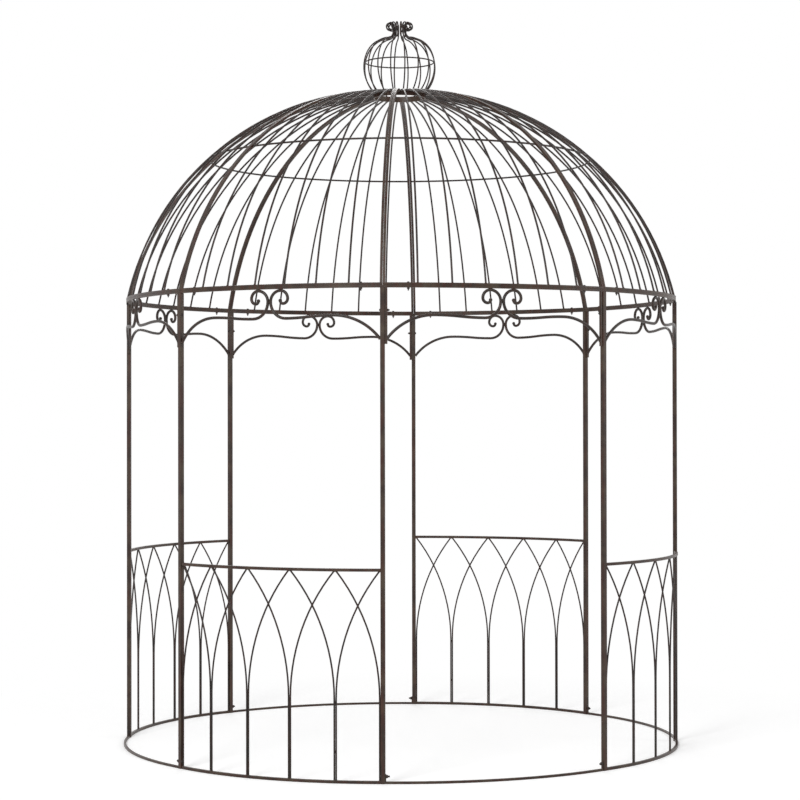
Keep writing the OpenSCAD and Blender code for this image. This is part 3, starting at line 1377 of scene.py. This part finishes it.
@dataclass
class Dome:
    """The eight panels of the dome and the hoop at its crown.

    Args:
        thin: Diameter of the thin ribs and of the middle ring.
        thin_count: Thin ribs in each panel.
        ring_rise: Rise of the middle ring above the eaves joint.
        ring_reach: Distance of the ribs from the axis at the middle ring.
        crown_rise: Rise of the ribs' ends above the eaves joint.
        panel_gap: Gap between two neighbouring panels.
        hoop_t: Thickness of the crown hoop.
        rib_gap: Clearance between the ribs' ends and the hoop.
    """

    thin: float = 8 * MM
    thin_count: int = 6
    ring_rise: float = 613 * MM
    ring_reach: float = 838 * MM
    crown_rise: float = 909 * MM
    panel_gap: float = 1 * MM
    hoop_t: float = 5 * MM
    rib_gap: float = 0.7 * MM

    def build(self, finishes: Finishes) -> None:
        """Makes the panels and the hoop in place of the plain ones.

        Args:
            finishes: The materials.
        """
        for bay in range(8):
            self.panel(bay, finishes)
        self.hoop(finishes)

    def line(self, eaves_z: float, foot: float) -> RibLine:
        """The line of a rib.

        Args:
            eaves_z: Height of the eaves joint.
            foot: Distance of the rib's foot from the axis.

        Returns:
            The rib's line.
        """
        hoop_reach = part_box("crown_hoop")[1].x
        return RibLine(
            foot=Vector((foot, eaves_z + PLAN.bar / 2)),
            ring=Vector((self.ring_reach, eaves_z + self.ring_rise)),
            crown=Vector((hoop_reach + self.rib_gap, eaves_z + self.crown_rise)),
        )

    def panel(self, bay: int, finishes: Finishes) -> None:
        """Makes one panel: its rail, two main ribs, thin ribs and a part of the ring.

        Args:
            bay: Number of the bay.
            finishes: The materials.
        """
        node = f"dome_panel_{BAY_NAMES[bay]}"
        arc = PLAN.eaves(bay)
        eaves_z = low_z(node)
        inset = self.panel_gap / 2 + PLAN.bar / 2
        squares = [bent_rail(arc, PLAN.bar, eaves_z, -self.panel_gap / 2)]
        thins, welds = [], []
        for sign in (-1, 1):
            rib = self.line(eaves_z, PLAN.circle).sweep(Section.SQUARE, PLAN.bar)
            rib.transform(Matrix.Translation((-sign * inset, 0, 0)))
            rib.transform(Matrix.Rotation(sign * arc.half, 4, "Z"))
            squares.append(rib)
        for k in range(self.thin_count):
            angle = arc.half * (2 * (k + 1) / (self.thin_count + 1) - 1)
            line = self.line(eaves_z, arc.reach(angle))
            thin = line.sweep(Section.THIN_ROUND, self.thin)
            marks = [
                weld_collar(
                    Matrix.Translation((0, -line.foot.x, eaves_z + PLAN.bar)), self.thin / 2
                ),
                weld_bead(
                    Vector((0, -self.ring_reach + self.thin / 2, eaves_z + self.ring_rise)),
                    Vector((8.5, 5.5, 8.5)) * MM,
                ),
            ]
            for bm in (thin, *marks):
                bm.transform(Matrix.Rotation(angle, 4, "Z"))
            thins.append(thin)
            welds += marks
        thins.append(self.ring(arc.half, eaves_z + self.ring_rise, inset))
        piece = make_piece(
            f"{node}_welded",
            [Layer(finishes.square, squares), Layer(finishes.rods, thins),
             Layer(finishes.welds, welds)],
            bay_turn(bay),
        )
        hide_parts(node)

    def ring(self, half: float, z: float, inset: float) -> bmesh.types.BMesh:
        """The part of the middle ring inside one panel.

        Args:
            half: Half of the bay's angle.
            z: Height of the ring.
            inset: Distance of a main rib's middle from the panel's edge plane.

        Returns:
            The ring's mesh.
        """
        reach = self.ring_reach - self.thin / 2 - 1 * MM
        turn = half - math.asin(inset / reach)
        bar = Bar(Section.THIN_ROUND, self.thin, Vector((0, 0, -reach)), 0)
        bm = bar.bend(reach, 2 * turn, math.radians(2)).close()
        # The ring is drawn upright and laid level
        bm.transform(Matrix.Rotation(-QUARTER, 4, "X"))
        bm.transform(Matrix.Translation((0, 0, z)) @ Matrix.Rotation(-turn, 4, "Z"))
        return bm

    def hoop(self, finishes: Finishes) -> None:
        """Makes the flat hoop at the crown.

        Args:
            finishes: The materials.
        """
        low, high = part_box("crown_hoop")
        bm = bmesh.new()
        middle = Vector((high.x - self.hoop_t / 2, 0, (low.z + high.z) / 2))
        size = Vector((self.hoop_t, 0, high.z - low.z))
        ring = bmesh.ops.create_circle(
            bm, segments=4, radius=math.sqrt(0.5),
            matrix=Matrix.Translation(middle) @ Matrix.Diagonal((size.x, 1, size.z, 1))
            @ Matrix.Rotation(QUARTER, 4, "X") @ Matrix.Rotation(EIGHTH, 4, "Z"),
        )["verts"]
        bmesh.ops.spin(
            bm, geom=list({e for v in ring for e in v.link_edges}), cent=(0, 0, 0),
            axis=(0, 0, 1), angle=2 * math.pi, steps=64, use_merge=True, use_duplicate=False,
        )
        bmesh.ops.recalc_face_normals(bm, faces=bm.faces)
        soften(bm, 0.9 * MM)
        hoop = make_piece(
            "crown_hoop_rolled", [Layer(finishes.square, [bm])], Matrix.Identity(4)
        )
        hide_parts("crown_hoop")


@dataclass
class Finial:
    """The wire cage on the crown: its wires curl outwards over a narrow neck.

    Args:
        wire: Diameter of a wire.
        count: Number of wires.
        cage: Radius of the cage's body.
        foot: Radius of the circle on which the wires stand.
        shoulder: Radius of the shoulder.
        shoulder_from: Angle above the horizontal at which the shoulder starts.
        shoulder_to: Angle at which it turns into the neck.
        neck: Radius of the neck.
        neck_h: Straight length of the neck.
        tip: Radius of the curls.
        tip_turn: How far each curl turns.
    """

    wire: float = 6 * MM
    count: int = 16
    cage: float = 158 * MM
    foot: float = 110.5 * MM
    shoulder: float = 108 * MM
    shoulder_from: float = math.radians(25)
    shoulder_to: float = math.radians(85)
    neck: float = 28 * MM
    neck_h: float = 22 * MM
    tip: float = 15 * MM
    tip_turn: float = math.radians(300)

    def build(self, finishes: Finishes) -> None:
        """Makes the cage and its ring in place of the plain ones.

        Args:
            finishes: The materials.
        """
        hoop_top = high_z("crown_hoop")
        wires, welds = [], []
        for k in range(self.count):
            turn = Matrix.Rotation(2 * math.pi * (k + 0.5) / self.count, 4, "Z")
            wire = self.wire_bar(hoop_top)
            foot = weld_collar(
                Matrix.Translation((self.foot, 0, hoop_top - 0.8 * MM)), self.wire / 2, 1.3 * MM
            )
            for bm in (wire, foot):
                bm.transform(turn)
            wires.append(wire)
            welds.append(foot)
        cage = make_piece(
            "finial_cage_wires",
            [Layer(finishes.rods, wires), Layer(finishes.welds, welds)], Matrix.Identity(4),
        )
        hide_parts("finial_cage")
        self.ring(finishes)

    def wire_bar(self, hoop_top: float) -> bmesh.types.BMesh:
        """One wire, in the plane y = 0.

        Args:
            hoop_top: Height of the hoop's top.

        Returns:
            The wire's mesh.
        """
        centre_z = hoop_top + math.sqrt(self.cage**2 - self.foot**2)
        start = -math.acos(self.foot / self.cage)
        place = Vector((self.cage * math.cos(start), 0, centre_z + self.cage * math.sin(start)))
        cos_to = math.cos(self.shoulder_to)
        shoulder_x = (self.cage - self.shoulder) * math.cos(self.shoulder_from)
        throat = (shoulder_x + self.shoulder * cos_to - self.neck) / (1 - cos_to)
        bar = Bar(Section.THIN_ROUND, self.wire, place, start + QUARTER)
        bar.bend(self.cage, self.shoulder_from - start, math.radians(5))
        bar.bend(self.shoulder, self.shoulder_to - self.shoulder_from, math.radians(6))
        bar.bend(throat, -self.shoulder_to).straight(self.neck_h)
        return bar.bend(self.tip, -self.tip_turn, math.radians(15)).close()

    def ring(self, finishes: Finishes) -> None:
        """Makes the ring inside the cage.

        Args:
            finishes: The materials.
        """
        low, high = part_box("finial_ring")
        bar = Bar(Section.THIN_ROUND, self.wire, Vector((0, 0, -high.x + self.wire / 2)), 0)
        bm = bar.bm
        bmesh.ops.spin(
            bm, geom=bar.front, cent=(0, 0, 0), axis=(0, -1, 0), angle=2 * math.pi, steps=64,
            use_merge=True, use_duplicate=False,
        )
        bmesh.ops.recalc_face_normals(bm, faces=bm.faces)
        level = Matrix.Translation((0, 0, (low.z + high.z) / 2))
        bm.transform(level @ Matrix.Rotation(QUARTER, 4, "X"))
        ring = make_piece(
            "finial_ring_wire", [Layer(finishes.rods, [bm])], Matrix.Identity(4)
        )
        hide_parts("finial_ring")


# ---------------------------------------------------------------- studio


@dataclass
class Studio:
    """A white floor, a white surround, soft lights and the camera.

    Args:
        lens: Focal length in millimetres, on a 36 mm sensor.
        distance: Distance of the camera from the pavilion's axis.
        height: Height of the camera.
        swing: Angle of the camera round the axis, from the front towards the left.
        tilt: How far the camera looks up.
        roll: How far the camera leans clockwise.
    """

    lens: float = 100.48
    distance: float = 9.808
    height: float = 1.4124
    swing: float = math.radians(19.734)
    tilt: float = 0.0077
    roll: float = -0.0015

    def build(self) -> None:
        """Makes the studio."""
        self.camera()
        self.floor()
        self.surround()
        self.lamp("key", Vector((-6.5, -7, 6)), 3, 520)
        self.lamp("fill", Vector((7.5, -5, 4)), 3, 130)
        self.lamp("back", Vector((2, 8, 6.5)), 3, 130)
        view = bpy.context.scene.view_settings
        view.view_transform = "Standard"

    def camera(self) -> None:
        """Makes the camera."""
        data = bpy.data.cameras.new("camera")
        data.lens = self.lens
        data.sensor_width = 36
        data.clip_end = 200
        camera = bpy.data.objects.new("camera", data)
        bpy.context.scene.collection.objects.link(camera)
        side, ahead = math.sin(self.swing), math.cos(self.swing)
        camera.location = (-self.distance * side, -self.distance * ahead, self.height)
        camera.rotation_euler = (
            Matrix.Rotation(-self.swing, 3, "Z")
            @ Matrix.Rotation(QUARTER + self.tilt, 3, "X")
            @ Matrix.Rotation(self.roll, 3, "Z")
        ).to_euler()
        bpy.context.scene.camera = camera

    def floor(self) -> None:
        """Makes the floor."""
        bm = bmesh.new()
        bmesh.ops.create_grid(bm, x_segments=1, y_segments=1, size=40)
        mesh = bpy.data.meshes.new("floor")
        bm.to_mesh(mesh)
        bm.free()
        mesh.materials.append(StudioFloor().build())
        floor = bpy.data.objects.new("floor", mesh)
        bpy.context.scene.collection.objects.link(floor)

    @staticmethod
    def surround() -> None:
        """Makes the white surround: pure white to the camera, and softer as a light."""
        world = bpy.data.worlds.new("surround")
        world.use_nodes = True
        tree = world.node_tree
        tree.nodes.clear()
        path = add_node(tree, "ShaderNodeLightPath")
        seen = path.outputs["Is Camera Ray"]
        for other in ("Is Glossy Ray", "Is Transmission Ray"):
            rays = {0: seen, 1: path.outputs[other]}
            adder = add_node(tree, "ShaderNodeMath", rays, operation="ADD", use_clamp=True)
            seen = adder.outputs[0]
        strength = add_node(
            tree, "ShaderNodeMapRange", {0: seen, 3: 0.5, 4: 1}
        ).outputs[0]
        light = add_node(
            tree, "ShaderNodeBackground", {"Color": (1, 1, 1, 1), "Strength": strength}
        )
        add_node(tree, "ShaderNodeOutputWorld", {"Surface": light.outputs[0]})
        bpy.context.scene.world = world

    @staticmethod
    def lamp(name: str, place: Vector, size: float, power: float) -> None:
        """Makes a soft lamp that faces the dome's foot.

        Args:
            name: The lamp's name.
            place: Its place.
            size: Its side.
            power: Its power in watts.
        """
        data = bpy.data.lights.new(name, "AREA")
        data.size = size
        data.energy = power
        lamp = bpy.data.objects.new(name, data)
        lamp.location = place
        aim = Vector((0, 0, 1.6)) - place
        lamp.rotation_euler = aim.to_track_quat("-Z", "Y").to_euler()
        bpy.context.scene.collection.objects.link(lamp)


def main() -> None:
    """Builds the pavilion's pieces in order, then the studio."""
    logging.basicConfig(level=logging.INFO, format="%(name)s: %(message)s")
    finishes = Finishes.build()
    for part in (Posts(), Railings(), Sills(), Eaves(), Dome(), Finial()):
        part.build(finishes)
    Studio().build()


if __name__ == "__main__":
    main()
